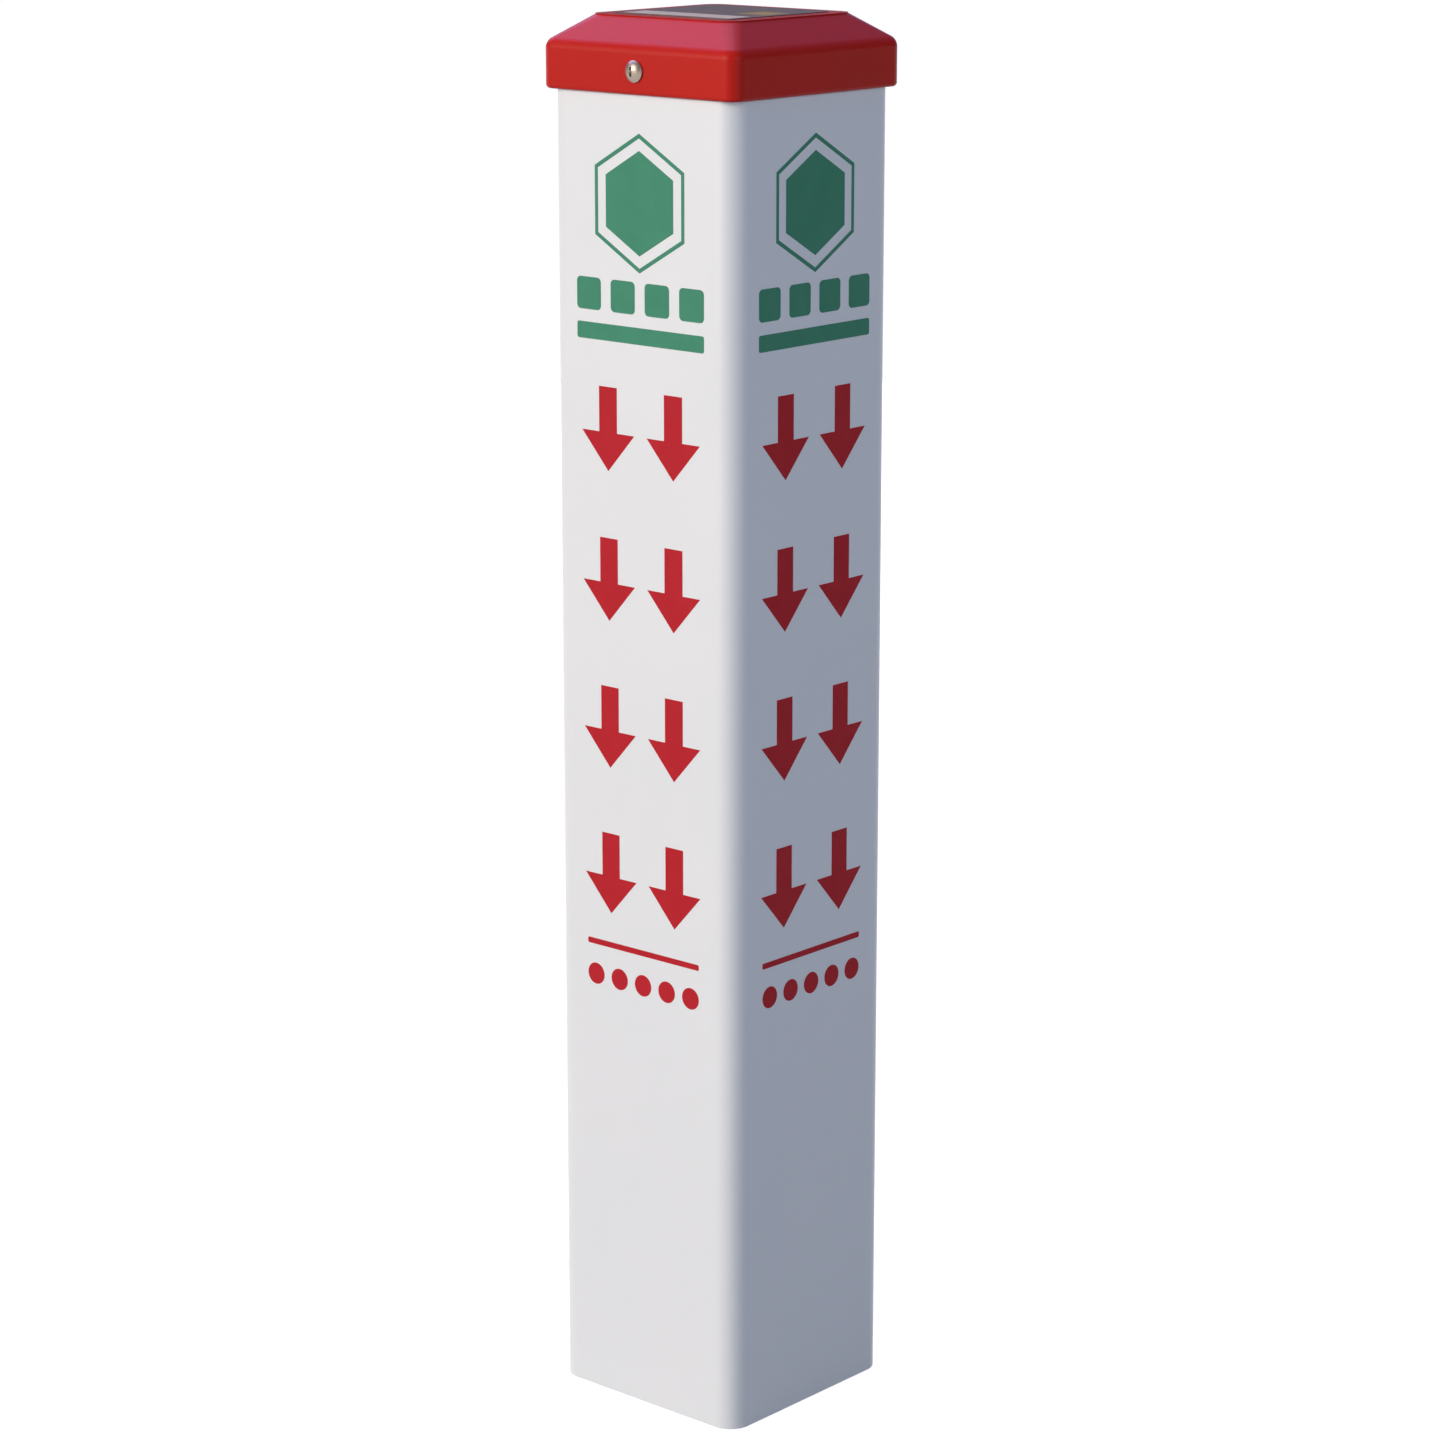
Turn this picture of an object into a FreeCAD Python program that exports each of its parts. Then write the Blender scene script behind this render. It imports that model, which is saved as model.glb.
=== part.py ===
# Square utility marker post: an extruded PVC post with inner webs, under a moulded cap
# that two self-tapping screws hold. Millimetres, +Z up, origin at the middle of the
# post's bottom end. The screws are on the front (-Y) and back (+Y) faces.
import FreeCAD, Part
import math
import os

# Whole object
overall_height = 600.0

# Post: an extruded section
post_width = 102.0
post_corner_radius = 10.0
post_wall = 3.0
web_thickness = 2.5
web_fillet = 1.5

# Cap: an injection-moulded shell
cap_wall = 2.0
cap_clearance = 0.4
cap_inner_corner_radius = 4.5
skirt_height = 19.3
slope_run = 15.0
slope_rise = 11.2
ridge_radius = 5.5
top_edge_radius = 2.5
lip_radius = 1.6

# Ribs inside the cap, which sit on the post's end and locate it
rib_thickness = 1.5
seat_drop = 3.0
tongue_length = 8.0
tongue_depth = 4.0
tongue_clearance = 0.5
tongue_lead_in = 1.5

# Truss-head self-tapping screws with a cross recess
screw_head_diameter = 9.0
screw_head_height = 2.8
screw_head_rim = 0.8
screw_length = 13.0
screw_core_diameter = 3.1
screw_point_length = 2.8
recess_span = 4.4
recess_floor_span = 1.8
recess_slot = 1.1
recess_depth = 1.9
cap_hole_clearance = 0.7
pilot_hole_clearance = 0.05
pilot_run_out = 2.0

# Label on the cap's flat top
label_size = 64.0
label_corner_radius = 3.0
label_thickness = 0.3

# Levels and half widths that follow from the sizes above
post_half = post_width / 2.0
post_inner_half = post_half - post_wall
ridge_level = overall_height - slope_rise
lip_level = ridge_level - skirt_height
post_length = ridge_level - seat_drop
cap_inner_half = post_half + cap_clearance
cap_outer_half = cap_inner_half + cap_wall
cap_corner_radius = cap_inner_corner_radius + cap_wall
screw_level = lip_level + skirt_height / 2.0
cell_middle = (web_thickness / 2.0 + post_inner_half) / 2.0

Vector = FreeCAD.Vector
UP = Vector(0, 0, 1)


def rounded_rectangle(low_x, low_y, high_x, high_y, radii, level):
    """A closed wire. radii are those of the corners, anticlockwise from the lowest."""
    corners = [
        (low_x, low_y, 1, 1),
        (high_x, low_y, -1, 1),
        (high_x, high_y, -1, -1),
        (low_x, high_y, 1, -1),
    ]
    arcs = []
    for (x, y, inward_x, inward_y), radius in zip(corners, radii):
        middle = radius * (1.0 - math.sqrt(0.5))
        along_x = Vector(x + inward_x * radius, y, level)
        along_y = Vector(x, y + inward_y * radius, level)
        bulge = Vector(x + inward_x * middle, y + inward_y * middle, level)
        if inward_x == inward_y:
            arcs.append((along_y, bulge, along_x))
        else:
            arcs.append((along_x, bulge, along_y))
    edges = []
    for index, (start, bulge, end) in enumerate(arcs):
        following = arcs[(index + 1) % len(arcs)][0]
        edges.append(Part.Arc(start, bulge, end).toShape())
        edges.append(Part.LineSegment(end, following).toShape())
    return Part.Wire(edges)


def rounded_square(half, radius, level):
    return rounded_rectangle(-half, -half, half, half, [radius] * 4, level)


def prism(wire, height):
    return Part.Face(wire).extrude(UP * height)


def edges_at(shape, level, half):
    """The edges of a shape that lie wholly at one level, on its outline of one half width."""
    found = []
    for edge in shape.Edges:
        box = edge.BoundBox
        flat = abs(box.ZMin - level) < 1e-4 and abs(box.ZMax - level) < 1e-4
        reach = max(abs(box.XMin), abs(box.XMax), abs(box.YMin), abs(box.YMax))
        if flat and abs(reach - half) < 1e-4:
            found.append(edge)
    return found


def along_y(radius, length, mouth_y, level, direction):
    """A round bar along Y, from mouth_y in the given direction of Y."""
    return Part.makeCylinder(radius, length, Vector(0, mouth_y, level), Vector(0, direction, 0))


def make_post():
    """The extruded section: four walls and a cross of two webs, open at both ends."""
    body = prism(rounded_square(post_half, post_corner_radius, 0.0), post_length)
    # The inner corner follows the outer one, and is never sharper than the webs' fillets.
    inner_radius = max(post_corner_radius - post_wall, web_fillet)
    near = web_thickness / 2.0
    radii = [web_fillet, web_fillet, inner_radius, web_fillet]
    cell = prism(rounded_rectangle(near, near, post_inner_half, post_inner_half, radii, 0.0), post_length)
    for quarter in range(4):
        body = body.cut(cell.rotated(Vector(0, 0, 0), UP, 90.0 * quarter))
    pilot_radius = screw_core_diameter / 2.0 + pilot_hole_clearance
    pilot_depth = screw_length - cap_wall - cap_clearance + pilot_run_out
    for side in (-1, 1):
        body = body.cut(along_y(pilot_radius, pilot_depth, side * post_half, screw_level, -side))
    return body


def cap_shape(half, radius, low, ridge, flat_half, flat_radius, top):
    """A square skirt from low to ridge, under four slopes that end in a flat top."""
    skirt = prism(rounded_square(half, radius, low), ridge - low)
    foot = rounded_square(half, radius, ridge)
    crown = rounded_square(flat_half, flat_radius, top)
    return skirt.fuse(Part.makeLoft([foot, crown], True, True)).removeSplitter()


def inner_slope():
    """Half width and level where the cap's inner slopes end, for an even wall all round."""
    angle = math.atan2(slope_rise, slope_run)
    inner_ridge = ridge_level - cap_wall * (1.0 - math.sin(angle)) / math.cos(angle)
    inner_top = overall_height - cap_wall
    inner_flat_half = cap_inner_half - (inner_top - inner_ridge) * slope_run / slope_rise
    return inner_ridge, inner_top, inner_flat_half


def make_rib(outer):
    """One rib on the +X side. Its foot sits on the post's end, and its tongue goes inside."""
    tongue_outer = post_inner_half - tongue_clearance
    tongue_inner = tongue_outer - tongue_depth
    tongue_end = post_length - tongue_length
    profile = [
        (tongue_inner, overall_height),
        (tongue_inner, tongue_end),
        (tongue_outer - tongue_lead_in, tongue_end),
        (tongue_outer, tongue_end + tongue_lead_in),
        (tongue_outer, post_length),
        (cap_outer_half, post_length),
        (cap_outer_half, overall_height),
    ]
    points = [Vector(x, -rib_thickness / 2.0, z) for x, z in profile]
    plate = Part.Face(Part.makePolygon(points + points[:1])).extrude(Vector(0, rib_thickness, 0))
    return plate.common(outer)


def make_cap():
    """The moulded shell: its skirt, four slopes and flat top, with two ribs on each side."""
    flat_half = cap_outer_half - slope_run
    outer = cap_shape(
        cap_outer_half, cap_corner_radius, lip_level, ridge_level, flat_half, cap_corner_radius, overall_height
    )
    outer = outer.makeFillet(ridge_radius, edges_at(outer, ridge_level, cap_outer_half))
    outer = outer.makeFillet(top_edge_radius, edges_at(outer, overall_height, flat_half))
    outer = outer.makeFillet(lip_radius, edges_at(outer, lip_level, cap_outer_half))
    inner_ridge, inner_top, inner_flat_half = inner_slope()
    hollow = cap_shape(
        cap_inner_half, cap_inner_corner_radius, lip_level, inner_ridge, inner_flat_half,
        cap_inner_corner_radius, inner_top
    )
    # The hollow's edges are rounded about the same centres, so the wall stays even there too.
    hollow = hollow.makeFillet(ridge_radius - cap_wall, edges_at(hollow, inner_ridge, cap_inner_half))
    hollow = hollow.makeFillet(top_edge_radius - cap_wall, edges_at(hollow, inner_top, inner_flat_half))
    cap = outer.cut(hollow)
    for quarter in range(4):
        for side in (-1, 1):
            rib = make_rib(outer).translated(Vector(0, side * cell_middle, 0))
            cap = cap.fuse(rib.rotated(Vector(0, 0, 0), UP, 90.0 * quarter))
    hole_radius = screw_core_diameter / 2.0 + cap_hole_clearance
    for side in (-1, 1):
        cap = cap.cut(along_y(hole_radius, cap_wall * 2.0, side * (cap_outer_half + cap_wall / 2.0),
                              screw_level, -side))
    return cap.removeSplitter()


def make_recess():
    """The cross recess, as two tapered slots that narrow towards their floor."""
    slots = []
    for turn in (0.0, 90.0):
        outline = [
            Vector(-recess_span / 2.0, 0, screw_head_height),
            Vector(-recess_floor_span / 2.0, 0, screw_head_height - recess_depth),
            Vector(recess_floor_span / 2.0, 0, screw_head_height - recess_depth),
            Vector(recess_span / 2.0, 0, screw_head_height),
        ]
        face = Part.Face(Part.makePolygon(outline + outline[:1]))
        slot = face.extrude(Vector(0, recess_slot, 0)).translated(Vector(0, -recess_slot / 2.0, 0))
        slots.append(slot.rotated(Vector(0, 0, 0), UP, turn))
    return slots[0].fuse(slots[1])


def make_screw():
    """A screw that stands on +Z, with the underside of its head at the origin."""
    head_radius = screw_head_diameter / 2.0
    core_radius = screw_core_diameter / 2.0
    crown = screw_head_height - screw_head_rim
    dome_radius = (head_radius ** 2 + crown ** 2) / (2.0 * crown)
    half_angle = math.asin(head_radius / dome_radius) / 2.0
    dome_middle = Vector(
        dome_radius * math.sin(half_angle),
        0,
        screw_head_height - dome_radius * (1.0 - math.cos(half_angle)),
    )
    rim_top = Vector(head_radius, 0, screw_head_rim)
    crown_top = Vector(0, 0, screw_head_height)
    corners = [
        Vector(0, 0, -screw_length),
        Vector(core_radius, 0, -screw_length + screw_point_length),
        Vector(core_radius, 0, 0),
        Vector(head_radius, 0, 0),
        rim_top,
    ]
    edges = [Part.LineSegment(a, b).toShape() for a, b in zip(corners, corners[1:])]
    edges.append(Part.Arc(rim_top, dome_middle, crown_top).toShape())
    edges.append(Part.LineSegment(crown_top, corners[0]).toShape())
    body = Part.Face(Part.Wire(edges)).revolve(Vector(0, 0, 0), UP, 360.0)
    return body.cut(make_recess())


def place_screw(side):
    """The screw turned to point into the face on one side of Y, its head on the skirt."""
    screw = make_screw().rotated(Vector(0, 0, 0), Vector(1, 0, 0), -90.0 * side)
    return screw.translated(Vector(0, side * cap_outer_half, screw_level))


def make_label():
    """The thin label that is stuck on the cap's flat top."""
    outline = rounded_square(label_size / 2.0, label_corner_radius, overall_height)
    return prism(outline, label_thickness)


def export(name, shape):
    shape.exportStep(os.path.join("parts", name + ".step"))
    print(name, "solids", len(shape.Solids), "valid", shape.isValid(), "volume", round(shape.Volume, 1))


os.makedirs("parts", exist_ok=True)
export("post_body", make_post())
export("top_cap", make_cap())
export("cap_screw_front", place_screw(-1))
export("cap_screw_back", place_screw(1))
export("cap_label", make_label())
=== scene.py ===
import bmesh
import bpy
import math
from mathutils import Matrix, Vector


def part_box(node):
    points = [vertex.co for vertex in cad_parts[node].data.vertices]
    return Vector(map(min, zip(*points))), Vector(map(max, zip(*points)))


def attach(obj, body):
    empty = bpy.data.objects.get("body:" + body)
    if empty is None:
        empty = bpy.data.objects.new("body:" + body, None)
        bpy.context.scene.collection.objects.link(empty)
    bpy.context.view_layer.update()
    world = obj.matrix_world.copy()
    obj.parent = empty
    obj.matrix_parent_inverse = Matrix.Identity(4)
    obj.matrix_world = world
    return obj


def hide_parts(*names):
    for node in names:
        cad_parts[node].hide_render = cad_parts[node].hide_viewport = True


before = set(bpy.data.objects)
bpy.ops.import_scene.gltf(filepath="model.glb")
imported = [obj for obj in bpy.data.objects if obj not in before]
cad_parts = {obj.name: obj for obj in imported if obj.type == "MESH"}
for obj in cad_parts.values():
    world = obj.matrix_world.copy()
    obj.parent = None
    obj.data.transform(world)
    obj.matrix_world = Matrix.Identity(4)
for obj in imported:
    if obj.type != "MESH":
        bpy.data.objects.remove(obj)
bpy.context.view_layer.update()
mm = 0.001


# The post is one length of extruded rigid PVC: four walls with rounded outer edges, and a
# cross of two webs inside. It is sawn square at both ends, and stands on the lower one.
_, post_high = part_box("post_body")
post_half = post_high.x
post_top = post_high.z
post_wall = 3.0 * mm
post_inner_half = post_half - post_wall
post_corner_radius = 10.0 * mm
post_corner_steps = 14
web_half = 1.25 * mm
web_fillet = 1.5 * mm
cell_corner_steps = 6
sawn_edge = 0.3 * mm
sawn_edge_steps = 2
sharp_angle = math.radians(35.0)
merge_distance = 0.0005 * mm

# The corners of a rectangle, as the sides that they lie on, anticlockwise from the low one.
corner_sides = ((-1, -1), (1, -1), (1, 1), (-1, 1))


def round_off(bm, geom, reach, steps, affect):
    """Rounds edges or corners. The round starts at the given reach from each of them."""
    bmesh.ops.bevel(
        bm, geom=geom, offset=reach, offset_type="OFFSET", segments=steps, profile=0.5,
        affect=affect, clamp_overlap=False, material=-1,
    )


def rectangle_loop(bm, low, high, radii, level, steps):
    """A closed loop of edges round a rectangle. radii are anticlockwise from the low corner."""
    width = high[0] - low[0]
    depth = high[1] - low[1]
    middle = Vector(((low[0] + high[0]) / 2, (low[1] + high[1]) / 2, level))
    place = Matrix.Translation(middle) @ Matrix.Diagonal((width, depth, 1.0, 1.0))
    bmesh.ops.create_grid(bm, x_segments=1, y_segments=1, size=0.5, matrix=place)
    for (across, along), radius in zip(corner_sides, radii):
        face, = bm.faces
        corner = max(face.verts, key=lambda vert: vert.co.x * across + vert.co.y * along)
        round_off(bm, [corner], radius, steps, "VERTICES")
    face, = bm.faces
    edges = list(face.edges)
    bmesh.ops.delete(bm, geom=[face], context="FACES_ONLY")
    return edges


def square_loop(bm, half, radius, level, steps):
    """A closed loop of edges round a square about the middle."""
    return rectangle_loop(bm, (-half, -half), (half, half), [radius] * 4, level, steps)


def raise_region(bm, faces, step):
    """Extrudes faces by a step, leaves a closed body, and gives back the vertices that moved."""
    grown = bmesh.ops.extrude_face_region(bm, geom=faces)
    moved = [item for item in grown["geom"] if isinstance(item, bmesh.types.BMVert)]
    bmesh.ops.translate(bm, verts=moved, vec=step)
    return moved


def finish_mesh(name, bm):
    """Makes an object of the mesh, smooth but for its sharp edges, with its faces outwards."""
    bmesh.ops.remove_doubles(bm, verts=bm.verts, dist=merge_distance)
    bmesh.ops.recalc_face_normals(bm, faces=bm.faces)
    for face in bm.faces:
        face.smooth = True
    for edge in bm.edges:
        edge.smooth = len(edge.link_faces) == 2 and edge.calc_face_angle(0.0) < sharp_angle
    mesh = bpy.data.meshes.new(name)
    bm.to_mesh(mesh)
    bm.free()
    piece = bpy.data.objects.new(name, mesh)
    flats = piece.modifiers.new("flat faces stay flat", "WEIGHTED_NORMAL")
    flats.keep_sharp = True
    bpy.context.scene.collection.objects.link(piece)
    return piece


def post_piece():
    """The outline and the four cells of the section, filled and raised to the post's height."""
    bm = bmesh.new()
    inner_radius = post_corner_radius - post_wall
    spans = {-1: (-post_inner_half, -web_half), 1: (web_half, post_inner_half)}
    edges = square_loop(bm, post_half, post_corner_radius, 0.0, post_corner_steps)
    for across in (-1, 1):
        for along in (-1, 1):
            low, high = zip(spans[across], spans[along])
            outermost = corner_sides.index((across, along))
            radii = [inner_radius if corner == outermost else web_fillet for corner in range(4)]
            edges += rectangle_loop(bm, low, high, radii, 0.0, cell_corner_steps)
    section = bmesh.ops.triangle_fill(bm, edges=edges, use_beauty=True, use_dissolve=False)
    faces = [item for item in section["geom"] if isinstance(item, bmesh.types.BMFace)]
    raise_region(bm, faces, (0.0, 0.0, post_top))
    # The edges round the sawn ends are level, and the surface turns by more than a radian there.
    end_edges = [
        edge for edge in bm.edges
        if abs(edge.verts[0].co.z - edge.verts[1].co.z) < sawn_edge and edge.calc_face_angle(0.0) > 1.0
    ]
    round_off(bm, end_edges, sawn_edge, sawn_edge_steps, "EDGES")
    return finish_mesh("post_shell", bm)


post = post_piece()


def linear(hex_colour):
    """An sRGB hex colour as the linear values that a shader takes."""
    values = []
    for index in (1, 3, 5):
        value = int(hex_colour[index:index + 2], 16) / 255.0
        values.append(value / 12.92 if value <= 0.04045 else ((value + 0.055) / 1.055) ** 2.4)
    return (*values, 1.0)


def add_node(tree, kind, settings=(), inputs=(), links=()):
    """Adds a node, with its properties, its sockets' values and the sources of linked sockets."""
    node = tree.nodes.new(kind)
    for name, value in dict(settings).items():
        setattr(node, name, value)
    for name, value in dict(inputs).items():
        node.inputs[name].default_value = value
    for name, source in dict(links).items():
        tree.links.new(source, node.inputs[name])
    return node


def new_material(name):
    """A material with an empty node tree, and the output node that its shader goes to."""
    material = bpy.data.materials.new(name)
    material.use_nodes = True
    material.node_tree.nodes.clear()
    return material, material.node_tree, material.node_tree.nodes.new("ShaderNodeOutputMaterial")


# Extruded PVC: a smooth satin white, with the faint lengthwise lines that the die leaves and a
# slow unevenness in its tone and shine, which softens what it reflects.
die_line_width = 4.0 * mm
die_line_depth = 0.03 * mm
die_line_squeeze = (1.0, 1.0, 0.01)
mottle_width = 70.0 * mm


def extruded_pvc():
    material, tree, output = new_material("extruded_white_pvc")
    where = add_node(tree, "ShaderNodeTexCoord").outputs["Object"]
    lengthwise = add_node(
        tree, "ShaderNodeMapping", inputs={"Scale": die_line_squeeze}, links={"Vector": where}
    ).outputs["Vector"]
    die_lines = add_node(
        tree, "ShaderNodeTexNoise",
        inputs={"Scale": 1.0 / die_line_width, "Detail": 3.0, "Roughness": 0.6},
        links={"Vector": lengthwise},
    ).outputs["Fac"]
    mottle = add_node(
        tree, "ShaderNodeTexNoise",
        inputs={"Scale": 1.0 / mottle_width, "Detail": 4.0, "Roughness": 0.55},
        links={"Vector": where},
    ).outputs["Fac"]
    colour = add_node(
        tree, "ShaderNodeMix", {"data_type": "RGBA"},
        {"A": linear("#E2E3E5"), "B": linear("#EAE9E9")}, {"Factor": mottle},
    ).outputs["Result"]
    shine = add_node(
        tree, "ShaderNodeMapRange", inputs={"To Min": 0.30, "To Max": 0.42}, links={"Value": mottle}
    ).outputs["Result"]
    relief = add_node(
        tree, "ShaderNodeBump", inputs={"Strength": 0.3, "Distance": die_line_depth},
        links={"Height": die_lines},
    ).outputs["Normal"]
    shader = add_node(
        tree, "ShaderNodeBsdfPrincipled", inputs={"IOR": 1.53},
        links={"Base Color": colour, "Roughness": shine, "Normal": relief},
    )
    tree.links.new(shader.outputs["BSDF"], output.inputs["Surface"])
    return material


post.data.materials.append(extruded_pvc())
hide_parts("post_body")
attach(post, "root")


# The print on each face is screen-printed ink, which lies on the PVC as a thin film: a green
# emblem, a row and a bar at the top, eight red marks in two columns below them, and a red bar
# over a row of dots.
ink_thickness = 0.06 * mm
emblem_level = 525.5 * mm
emblem_width = 43.0 * mm
emblem_frame_width = 57.0 * mm
emblem_frame_line = 1.7 * mm
emblem_sides = 6
square_row_level = 486.5 * mm
square_count = 4
square_pitch = 19.0 * mm
square_size = (13.5 * mm, 13.5 * mm)
square_corner_radius = 2.0 * mm
green_bar_level = 471.0 * mm
green_bar_size = (70.5 * mm, 7.0 * mm)
green_bar_corner_radius = 1.0 * mm
mark_levels = [430.5 * mm, 366.5 * mm, 302.5 * mm, 238.0 * mm]
mark_places = [-18.2 * mm, 18.2 * mm]
mark_size = (29.5 * mm, 35.5 * mm)
mark_shaft_half_share = 0.17
mark_neck_share = 0.04
red_bar_level = 206.0 * mm
red_bar_size = (64.0 * mm, 2.6 * mm)
red_bar_corner_radius = 0.8 * mm
dot_level = 191.5 * mm
dot_count = 5
dot_pitch = 13.6 * mm
dot_width = 9.5 * mm
dot_sides = 32
tile_corner_steps = 5


def tile(bm, middle, size, radius):
    """A flat rectangle with rounded corners, on the XY plane."""
    place = Matrix.Translation((*middle, 0.0)) @ Matrix.Diagonal((*size, 1.0, 1.0))
    made = bmesh.ops.create_grid(bm, x_segments=1, y_segments=1, size=0.5, matrix=place)
    round_off(bm, made["verts"], radius, tile_corner_steps, "VERTICES")


def disc(bm, middle, width, sides):
    """A flat disc, or a regular polygon with a corner at its top."""
    place = Matrix.Translation((*middle, 0.0))
    made = bmesh.ops.create_circle(bm, cap_ends=True, segments=sides, radius=width / 2, matrix=place)
    return made["verts"][0].link_faces[0]


def arrow(bm, middle, size):
    """A flat block arrow that points down."""
    head_half = size[0] / 2
    shaft_half = size[0] * mark_shaft_half_share
    neck = -size[1] * mark_neck_share
    outline = [
        (shaft_half, size[1] / 2), (shaft_half, neck), (head_half, neck), (0.0, -size[1] / 2),
        (-head_half, neck), (-shaft_half, neck), (-shaft_half, size[1] / 2),
    ]
    bm.faces.new([bm.verts.new((middle[0] + x, middle[1] + y, 0.0)) for x, y in outline])


def row_places(count, pitch):
    """Where the marks of a row stand, evenly spaced about the middle of the face."""
    return [(step - (count - 1) / 2) * pitch for step in range(count)]


def green_marks(bm):
    middle = (0.0, emblem_level)
    disc(bm, middle, emblem_width, emblem_sides)
    frame_face = disc(bm, middle, emblem_frame_width, emblem_sides)
    bmesh.ops.inset_individual(bm, faces=[frame_face], thickness=emblem_frame_line, use_even_offset=True)
    bmesh.ops.delete(bm, geom=[frame_face], context="FACES_ONLY")
    for place in row_places(square_count, square_pitch):
        tile(bm, (place, square_row_level), square_size, square_corner_radius)
    tile(bm, (0.0, green_bar_level), green_bar_size, green_bar_corner_radius)


def red_marks(bm):
    for level in mark_levels:
        for place in mark_places:
            arrow(bm, (place, level), mark_size)
    tile(bm, (0.0, red_bar_level), red_bar_size, red_bar_corner_radius)
    for place in row_places(dot_count, dot_pitch):
        disc(bm, (place, dot_level), dot_width, dot_sides)


def printed_film(name, draw, quarter):
    """Draws marks, makes them a film on the front face, and turns it to its own face."""
    bm = bmesh.new()
    draw(bm)
    bmesh.ops.recalc_face_normals(bm, faces=bm.faces)
    raise_region(bm, list(bm.faces), (0.0, 0.0, ink_thickness))
    upright = Matrix.Translation((0.0, -post_half, 0.0)) @ Matrix.Rotation(math.radians(90.0), 4, "X")
    turn = Matrix.Rotation(math.radians(90.0 * quarter), 4, "Z")
    bmesh.ops.transform(bm, matrix=turn @ upright, verts=bm.verts)
    return finish_mesh(name, bm)


# Screen ink: an even satin film, a little patchy where the screen laid it thinner.
ink_patch_width = 12.0 * mm


def screen_ink(name, thin, full):
    material, tree, output = new_material(name)
    where = add_node(tree, "ShaderNodeTexCoord").outputs["Object"]
    patches = add_node(
        tree, "ShaderNodeTexNoise",
        inputs={"Scale": 1.0 / ink_patch_width, "Detail": 5.0, "Roughness": 0.6},
        links={"Vector": where},
    ).outputs["Fac"]
    colour = add_node(
        tree, "ShaderNodeMix", {"data_type": "RGBA"},
        {"A": linear(thin), "B": linear(full)}, {"Factor": patches},
    ).outputs["Result"]
    shine = add_node(
        tree, "ShaderNodeMapRange", inputs={"To Min": 0.40, "To Max": 0.55}, links={"Value": patches}
    ).outputs["Result"]
    shader = add_node(
        tree, "ShaderNodeBsdfPrincipled", inputs={"IOR": 1.5, "Specular IOR Level": 0.12},
        links={"Base Color": colour, "Roughness": shine},
    )
    tree.links.new(shader.outputs["BSDF"], output.inputs["Surface"])
    return material


green_ink = screen_ink("green_screen_ink", "#4A9073", "#3D8468")
red_ink = screen_ink("red_screen_ink", "#C0242E", "#B21A24")
for quarter, side in enumerate(("front", "right", "back", "left")):
    for colour_name, draw, ink in (("green", green_marks, green_ink), ("red", red_marks, red_ink)):
        marks = printed_film(colour_name + "_print_" + side, draw, quarter)
        marks.data.materials.append(ink)
        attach(marks, "root")


# The cap is one moulding of red ABS: a skirt that reaches over the post, four slopes and a flat
# top, with an even wall and rounded edges. Eight ribs inside sit on the post's end and locate it.
cap_low, cap_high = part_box("top_cap")
cap_half = cap_high.x
cap_wall = 2.0 * mm
cap_corner_radius = 6.5 * mm
cap_corner_steps = 10
slope_run = 15.0 * mm
slope_rise = 11.2 * mm
ridge_radius = 5.5 * mm
top_edge_radius = 2.5 * mm
outer_edge_steps = 8
lip_radius = 1.6 * mm
lip_steps = 6
hollow_edge_steps = 6
rib_thickness = 1.5 * mm
rib_root = 0.4 * mm
tongue_length = 8.0 * mm
tongue_depth = 4.0 * mm
tongue_clearance = 0.5 * mm
tongue_lead_in = 1.5 * mm

cap_slope = math.atan2(slope_rise, slope_run)
ridge_turn = math.pi / 2 - cap_slope
lip_turn = math.pi / 2
cap_ridge = cap_high.z - slope_rise
cap_flat_half = cap_half - slope_run
hollow_half = cap_half - cap_wall
hollow_ridge = cap_ridge - cap_wall * (1 - math.sin(cap_slope)) / math.cos(cap_slope)
hollow_top = cap_high.z - cap_wall
hollow_flat_half = hollow_half - (hollow_top - hollow_ridge) * slope_run / slope_rise
hollow_corner_radius = cap_corner_radius - cap_wall
cell_middle = (web_half + post_half - post_wall) / 2


def round_ring(bm, edges, radius, turn, steps):
    """Rounds a ring of edges, where the surface turns by an angle, to a radius."""
    round_off(bm, edges, radius * math.tan(turn / 2), steps, "EDGES")


def add_rib(bm, offset, quarter):
    """A rib inside the +X side, turned to its own side. Its tongue reaches into the post."""
    tongue_outer = post_inner_half - tongue_clearance
    tongue_inner = tongue_outer - tongue_depth
    tongue_end = post_top - tongue_length
    rib_outer = hollow_half + rib_root
    outline = [
        (tongue_inner, tongue_end), (tongue_outer - tongue_lead_in, tongue_end),
        (tongue_outer, tongue_end + tongue_lead_in), (tongue_outer, post_top),
        (rib_outer, post_top), (rib_outer, hollow_ridge),
        (tongue_inner, hollow_ridge + (rib_outer - tongue_inner) * math.tan(cap_slope)),
    ]
    verts = [bm.verts.new((x, offset - rib_thickness / 2, z)) for x, z in outline]
    verts += raise_region(bm, [bm.faces.new(verts)], (0.0, rib_thickness, 0.0))
    bmesh.ops.rotate(bm, verts=verts, matrix=Matrix.Rotation(math.radians(90.0 * quarter), 3, "Z"))


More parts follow.
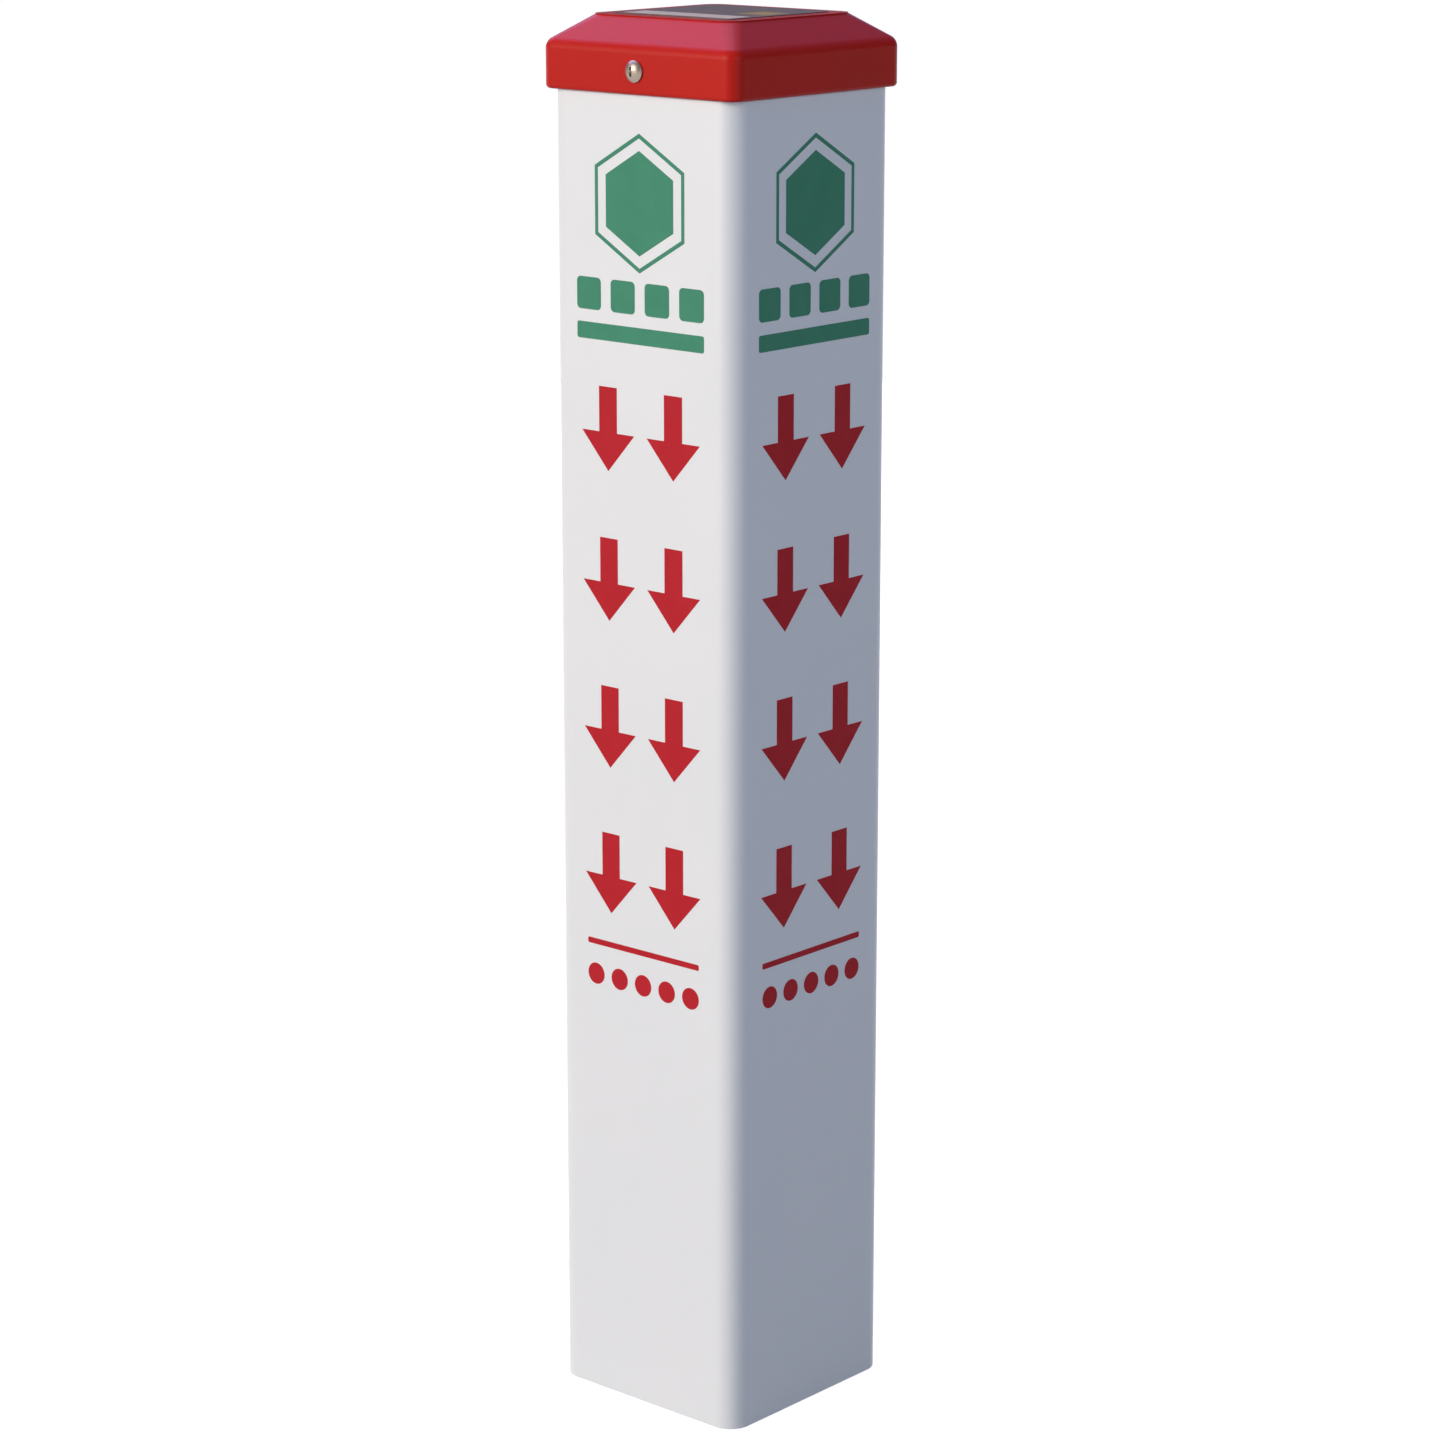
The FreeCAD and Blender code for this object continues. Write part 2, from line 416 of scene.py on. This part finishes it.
def cap_piece():
    """The shell, from the hollow's top down to the lip and up to the flat top, and its ribs."""
    bm = bmesh.new()
    outline = [
        (hollow_flat_half, hollow_top, hollow_corner_radius),
        (hollow_half, hollow_ridge, hollow_corner_radius),
        (hollow_half, cap_low.z, hollow_corner_radius),
        (cap_half, cap_low.z, cap_corner_radius),
        (cap_half, cap_ridge, cap_corner_radius),
        (cap_flat_half, cap_high.z, cap_corner_radius),
    ]
    loops = [square_loop(bm, half, radius, level, cap_corner_steps) for half, level, radius in outline]
    bmesh.ops.contextual_create(bm, geom=loops[0])
    bmesh.ops.contextual_create(bm, geom=loops[-1])
    for lower, upper in zip(loops, loops[1:]):
        bmesh.ops.bridge_loops(bm, edges=lower + upper)
    inner_top, inner_ridge, _, lip, ridge, top = loops
    round_ring(bm, lip, lip_radius, lip_turn, lip_steps)
    round_ring(bm, ridge, ridge_radius, ridge_turn, outer_edge_steps)
    round_ring(bm, top, top_edge_radius, cap_slope, outer_edge_steps)
    round_ring(bm, inner_ridge, ridge_radius - cap_wall, ridge_turn, hollow_edge_steps)
    round_ring(bm, inner_top, top_edge_radius - cap_wall, cap_slope, hollow_edge_steps)
    for quarter in range(4):
        for side in (-1, 1):
            add_rib(bm, side * cell_middle, quarter)
    return finish_mesh("cap_shell", bm)


cap = cap_piece()


# Moulded ABS: a deep semi-gloss red, with the slight orange peel of a moulded face and slow
# bands of shine where the melt flowed.
flow_band_width = 35.0 * mm
peel_width = 1.8 * mm
peel_depth = 0.02 * mm


def moulded_abs():
    material, tree, output = new_material("moulded_red_abs")
    where = add_node(tree, "ShaderNodeTexCoord").outputs["Object"]
    flow = add_node(
        tree, "ShaderNodeTexNoise",
        inputs={"Scale": 1.0 / flow_band_width, "Detail": 3.0, "Roughness": 0.5},
        links={"Vector": where},
    ).outputs["Fac"]
    peel = add_node(
        tree, "ShaderNodeTexNoise",
        inputs={"Scale": 1.0 / peel_width, "Detail": 2.0, "Roughness": 0.5},
        links={"Vector": where},
    ).outputs["Fac"]
    colour = add_node(
        tree, "ShaderNodeMix", {"data_type": "RGBA"},
        {"A": linear("#BB2018"), "B": linear("#C52219")}, {"Factor": flow},
    ).outputs["Result"]
    shine = add_node(
        tree, "ShaderNodeMapRange", inputs={"To Min": 0.26, "To Max": 0.36}, links={"Value": flow}
    ).outputs["Result"]
    relief = add_node(
        tree, "ShaderNodeBump", inputs={"Strength": 0.2, "Distance": peel_depth},
        links={"Height": peel},
    ).outputs["Normal"]
    shader = add_node(
        tree, "ShaderNodeBsdfPrincipled", inputs={"IOR": 1.53, "Specular IOR Level": 0.09},
        links={"Base Color": colour, "Roughness": shine, "Normal": relief},
    )
    tree.links.new(shader.outputs["BSDF"], output.inputs["Surface"])
    return material


cap.data.materials.append(moulded_abs())
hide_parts("top_cap")
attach(cap, "root")


# The cap's two self-tapping screws are zinc-plated steel, with a low domed head and a cross
# recess. They go through the skirt, front and back, into the post.
plating_grain_width = 0.8 * mm


def plated_steel():
    material, tree, output = new_material("zinc_plated_steel")
    where = add_node(tree, "ShaderNodeTexCoord").outputs["Object"]
    grain = add_node(
        tree, "ShaderNodeTexNoise",
        inputs={"Scale": 1.0 / plating_grain_width, "Detail": 4.0, "Roughness": 0.6},
        links={"Vector": where},
    ).outputs["Fac"]
    shine = add_node(
        tree, "ShaderNodeMapRange", inputs={"To Min": 0.30, "To Max": 0.46}, links={"Value": grain}
    ).outputs["Result"]
    shader = add_node(
        tree, "ShaderNodeBsdfPrincipled",
        inputs={"Base Color": linear("#A99A8A"), "Metallic": 1.0}, links={"Roughness": shine},
    )
    tree.links.new(shader.outputs["BSDF"], output.inputs["Surface"])
    return material


steel = plated_steel()
for name in ("cap_screw_front", "cap_screw_back"):
    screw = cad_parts[name]
    screw.data.materials.clear()
    screw.data.materials.append(steel)


# The label on the flat top is printed vinyl film with rounded corners, stuck down flat. Its print is a
# dark field with an ochre patch; the pale strip along the front, before the patch, is painted
# reflection.
# The pale strip's colour is a painted reflection of the sky on the film, not print.
painted_reflection_strip_middle = (0.0, -22.0 * mm)
painted_reflection_strip_size = (58.0 * mm, 14.0 * mm)
label_patch_middle = (20.0 * mm, 3.0 * mm)
label_patch_size = (16.0 * mm, 16.0 * mm)
label_print_and_reflection_fields = [
    (painted_reflection_strip_middle, painted_reflection_strip_size, "#E8D4C4"),
    (label_patch_middle, label_patch_size, "#B0923E"),
]
speckle_width = 6.0 * mm


def field_mask(tree, where, middle, size):
    """A value that is 1 inside a rectangle on the label, and 0 outside it."""
    place = add_node(tree, "ShaderNodeSeparateXYZ", links={"Vector": where})
    inside = [
        add_node(
            tree, "ShaderNodeMath", {"operation": "COMPARE"}, {1: middle[axis], 2: size[axis] / 2},
            {0: place.outputs[axis]},
        ).outputs["Value"]
        for axis in (0, 1)
    ]
    return add_node(
        tree, "ShaderNodeMath", {"operation": "MULTIPLY"}, links={0: inside[0], 1: inside[1]}
    ).outputs["Value"]


def vinyl_print_and_painted_reflection():
    material, tree, output = new_material("vinyl_film_print_and_painted_reflection")
    where = add_node(tree, "ShaderNodeTexCoord").outputs["Object"]
    speckle = add_node(
        tree, "ShaderNodeTexNoise", inputs={"Scale": 1.0 / speckle_width, "Detail": 4.0},
        links={"Vector": where},
    ).outputs["Fac"]
    colour = add_node(
        tree, "ShaderNodeMix", {"data_type": "RGBA"},
        {"A": linear("#645448"), "B": linear("#736254")}, {"Factor": speckle},
    ).outputs["Result"]
    # Laid over the dark print: the ochre patch is print, the pale strip is a painted reflection.
    for middle, size, field_colour in label_print_and_reflection_fields:
        colour = add_node(
            tree, "ShaderNodeMix", {"data_type": "RGBA"}, {"B": linear(field_colour)},
            {"A": colour, "Factor": field_mask(tree, where, middle, size)},
        ).outputs["Result"]
    shader = add_node(
        tree, "ShaderNodeBsdfPrincipled",
        inputs={"Roughness": 0.35, "IOR": 1.5, "Specular IOR Level": 0.15},
        links={"Base Color": colour},
    )
    tree.links.new(shader.outputs["BSDF"], output.inputs["Surface"])
    return material


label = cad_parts["cap_label"]
label.data.materials.clear()
label.data.materials.append(vinyl_print_and_painted_reflection())


# The studio is a wide pale floor in a white surround, with a broad key light at the left and soft
# fill lights at the right and behind. Three cool lamps overhead stand for the sky, and two of them
# show in reflections only.
floor_half_width = 20.0
floor_glow = 0.94


def pale_floor():
    """Matt and pale grey under the lamps, with a glow for the camera and for reflections."""
    material, tree, output = new_material("pale_floor")
    path = add_node(tree, "ShaderNodeLightPath")
    seen = add_node(
        tree, "ShaderNodeMath", {"operation": "MAXIMUM"},
        links={0: path.outputs["Is Camera Ray"], 1: path.outputs["Is Glossy Ray"]},
    ).outputs["Value"]
    lift = add_node(
        tree, "ShaderNodeMath", {"operation": "MULTIPLY"}, {1: floor_glow}, {0: seen}
    ).outputs["Value"]
    matt = add_node(tree, "ShaderNodeBsdfDiffuse", inputs={"Color": linear("#868C9C")})
    glow = add_node(tree, "ShaderNodeEmission", links={"Strength": lift})
    both = add_node(
        tree, "ShaderNodeAddShader", links={0: matt.outputs["BSDF"], 1: glow.outputs["Emission"]}
    )
    tree.links.new(both.outputs["Shader"], output.inputs["Surface"])
    return material


def floor_piece():
    bm = bmesh.new()
    bmesh.ops.create_grid(bm, x_segments=1, y_segments=1, size=floor_half_width)
    return finish_mesh("floor", bm)


floor = floor_piece()
floor.data.materials.append(pale_floor())


def aim(holder, place, target):
    """Puts a lamp in the scene at a place, turned to a target."""
    holder.location = place
    holder.rotation_euler = (Vector(target) - Vector(place)).to_track_quat("-Z", "Y").to_euler()
    bpy.context.scene.collection.objects.link(holder)


def area_lamp(name, place, level, width, power, hex_colour, lights=True, mirrored=True):
    """A square lamp, turned to a level of the post's middle line. The camera doesn't see it.

    lights is whether it lights matt surfaces, and mirrored whether shiny ones show it.
    """
    lamp = bpy.data.lights.new(name, "AREA")
    lamp.shape = "RECTANGLE"
    lamp.size = width
    lamp.size_y = width
    lamp.energy = power
    lamp.color = linear(hex_colour)[:3]
    holder = bpy.data.objects.new(name, lamp)
    holder.visible_camera = False
    holder.visible_diffuse = lights
    holder.visible_glossy = mirrored
    aim(holder, place, (0.0, 0.0, level))


key = bpy.data.lights.new("key_light", "SUN")
key.energy = 2.66
key.angle = math.radians(50.0)
key.color = linear("#FFFAF4")[:3]
aim(bpy.data.objects.new("key_light", key), place=(-0.33, -0.91, 0.24), target=(0.0, 0.0, 0.0))
area_lamp(
    "upper_key_light", place=(-0.8, -2.2, 1.2), level=0.4, width=1.2, power=12.0,
    hex_colour="#FFF9EA",
)
area_lamp(
    "left_sky_light", place=(-1.69, 0.37, 2.50), level=0.59, width=2.4, power=75.0,
    hex_colour="#B4B2F2", lights=False,
)
area_lamp(
    "back_sky_light", place=(-0.21, 2.25, 2.57), level=0.59, width=3.2, power=23.0,
    hex_colour="#8C98F4", lights=False,
)
area_lamp(
    "top_sky_light", place=(-0.4, 0.6, 4.3), level=0.59, width=4.0, power=38.0,
    hex_colour="#DCE0FF",
)
area_lamp(
    "fill_light", place=(2.4, -0.5, 1.3), level=0.5, width=1.6, power=21.0,
    hex_colour="#E2EEFF",
)
area_lamp(
    "back_fill_light", place=(-1.8, 2.0, 0.7), level=0.35, width=1.6, power=38.0,
    hex_colour="#FFF8F0", mirrored=False,
)


def white_surround():
    """White to the camera, white below a grey overhead in reflections, and a faint blue light."""
    world = bpy.data.worlds.new("studio")
    world.use_nodes = True
    tree = world.node_tree
    tree.nodes.clear()
    output = tree.nodes.new("ShaderNodeOutputWorld")
    path = add_node(tree, "ShaderNodeLightPath")
    gloss = add_node(
        tree, "ShaderNodeMath", {"operation": "MAXIMUM"},
        links={0: path.outputs["Is Glossy Ray"], 1: path.outputs["Is Transmission Ray"]},
    ).outputs["Value"]
    seen = add_node(
        tree, "ShaderNodeMath", {"operation": "MAXIMUM"},
        links={0: path.outputs["Is Camera Ray"], 1: gloss},
    ).outputs["Value"]
    direction = add_node(tree, "ShaderNodeTexCoord").outputs["Generated"]
    height = add_node(tree, "ShaderNodeSeparateXYZ", links={"Vector": direction}).outputs["Z"]
    overhead = add_node(
        tree, "ShaderNodeMapRange", {"interpolation_type": "SMOOTHSTEP"},
        {"From Min": 0.0, "From Max": 0.1}, {"Value": height},
    ).outputs["Result"]
    shown = add_node(
        tree, "ShaderNodeMath", {"operation": "MULTIPLY"}, links={0: overhead, 1: gloss}
    ).outputs["Value"]
    colour = add_node(
        tree, "ShaderNodeMix", {"data_type": "RGBA"},
        {"A": linear("#FFFFFF"), "B": linear("#706E86")}, {"Factor": shown},
    ).outputs["Result"]
    shade = add_node(
        tree, "ShaderNodeBackground", inputs={"Color": linear("#A9BEE8"), "Strength": 0.10}
    )
    white = add_node(
        tree, "ShaderNodeBackground", inputs={"Strength": 1.0}, links={"Color": colour}
    )
    both = add_node(
        tree, "ShaderNodeMixShader",
        links={0: seen, 1: shade.outputs["Background"], 2: white.outputs["Background"]},
    )
    tree.links.new(both.outputs["Shader"], output.inputs["Surface"])
    bpy.context.scene.world = world


white_surround()


# The camera stands off the corner between the front and right faces, a little above the cap, and
# looks down on the post with a long lens.
camera_azimuth = math.radians(41.38)
camera_pitch = math.radians(13.94)
camera_distance = 1.6667
camera_height = 0.7129
camera_side = -0.0008
focal_length_pixels = 3987.1
photo_width_pixels = 1440.0
sensor_width = 36.0

camera = bpy.data.cameras.new("camera")
camera.sensor_width = sensor_width
camera.lens = focal_length_pixels * sensor_width / photo_width_pixels
camera.clip_end = 100.0
camera_holder = bpy.data.objects.new("camera", camera)
camera_holder.location = (
    math.sin(camera_azimuth) * camera_distance + math.cos(camera_azimuth) * camera_side,
    -math.cos(camera_azimuth) * camera_distance + math.sin(camera_azimuth) * camera_side,
    camera_height,
)
camera_holder.rotation_euler = (math.radians(90.0) - camera_pitch, 0.0, camera_azimuth)
bpy.context.scene.collection.objects.link(camera_holder)
bpy.context.scene.camera = camera_holder
bpy.context.scene.view_settings.view_transform = "Standard"
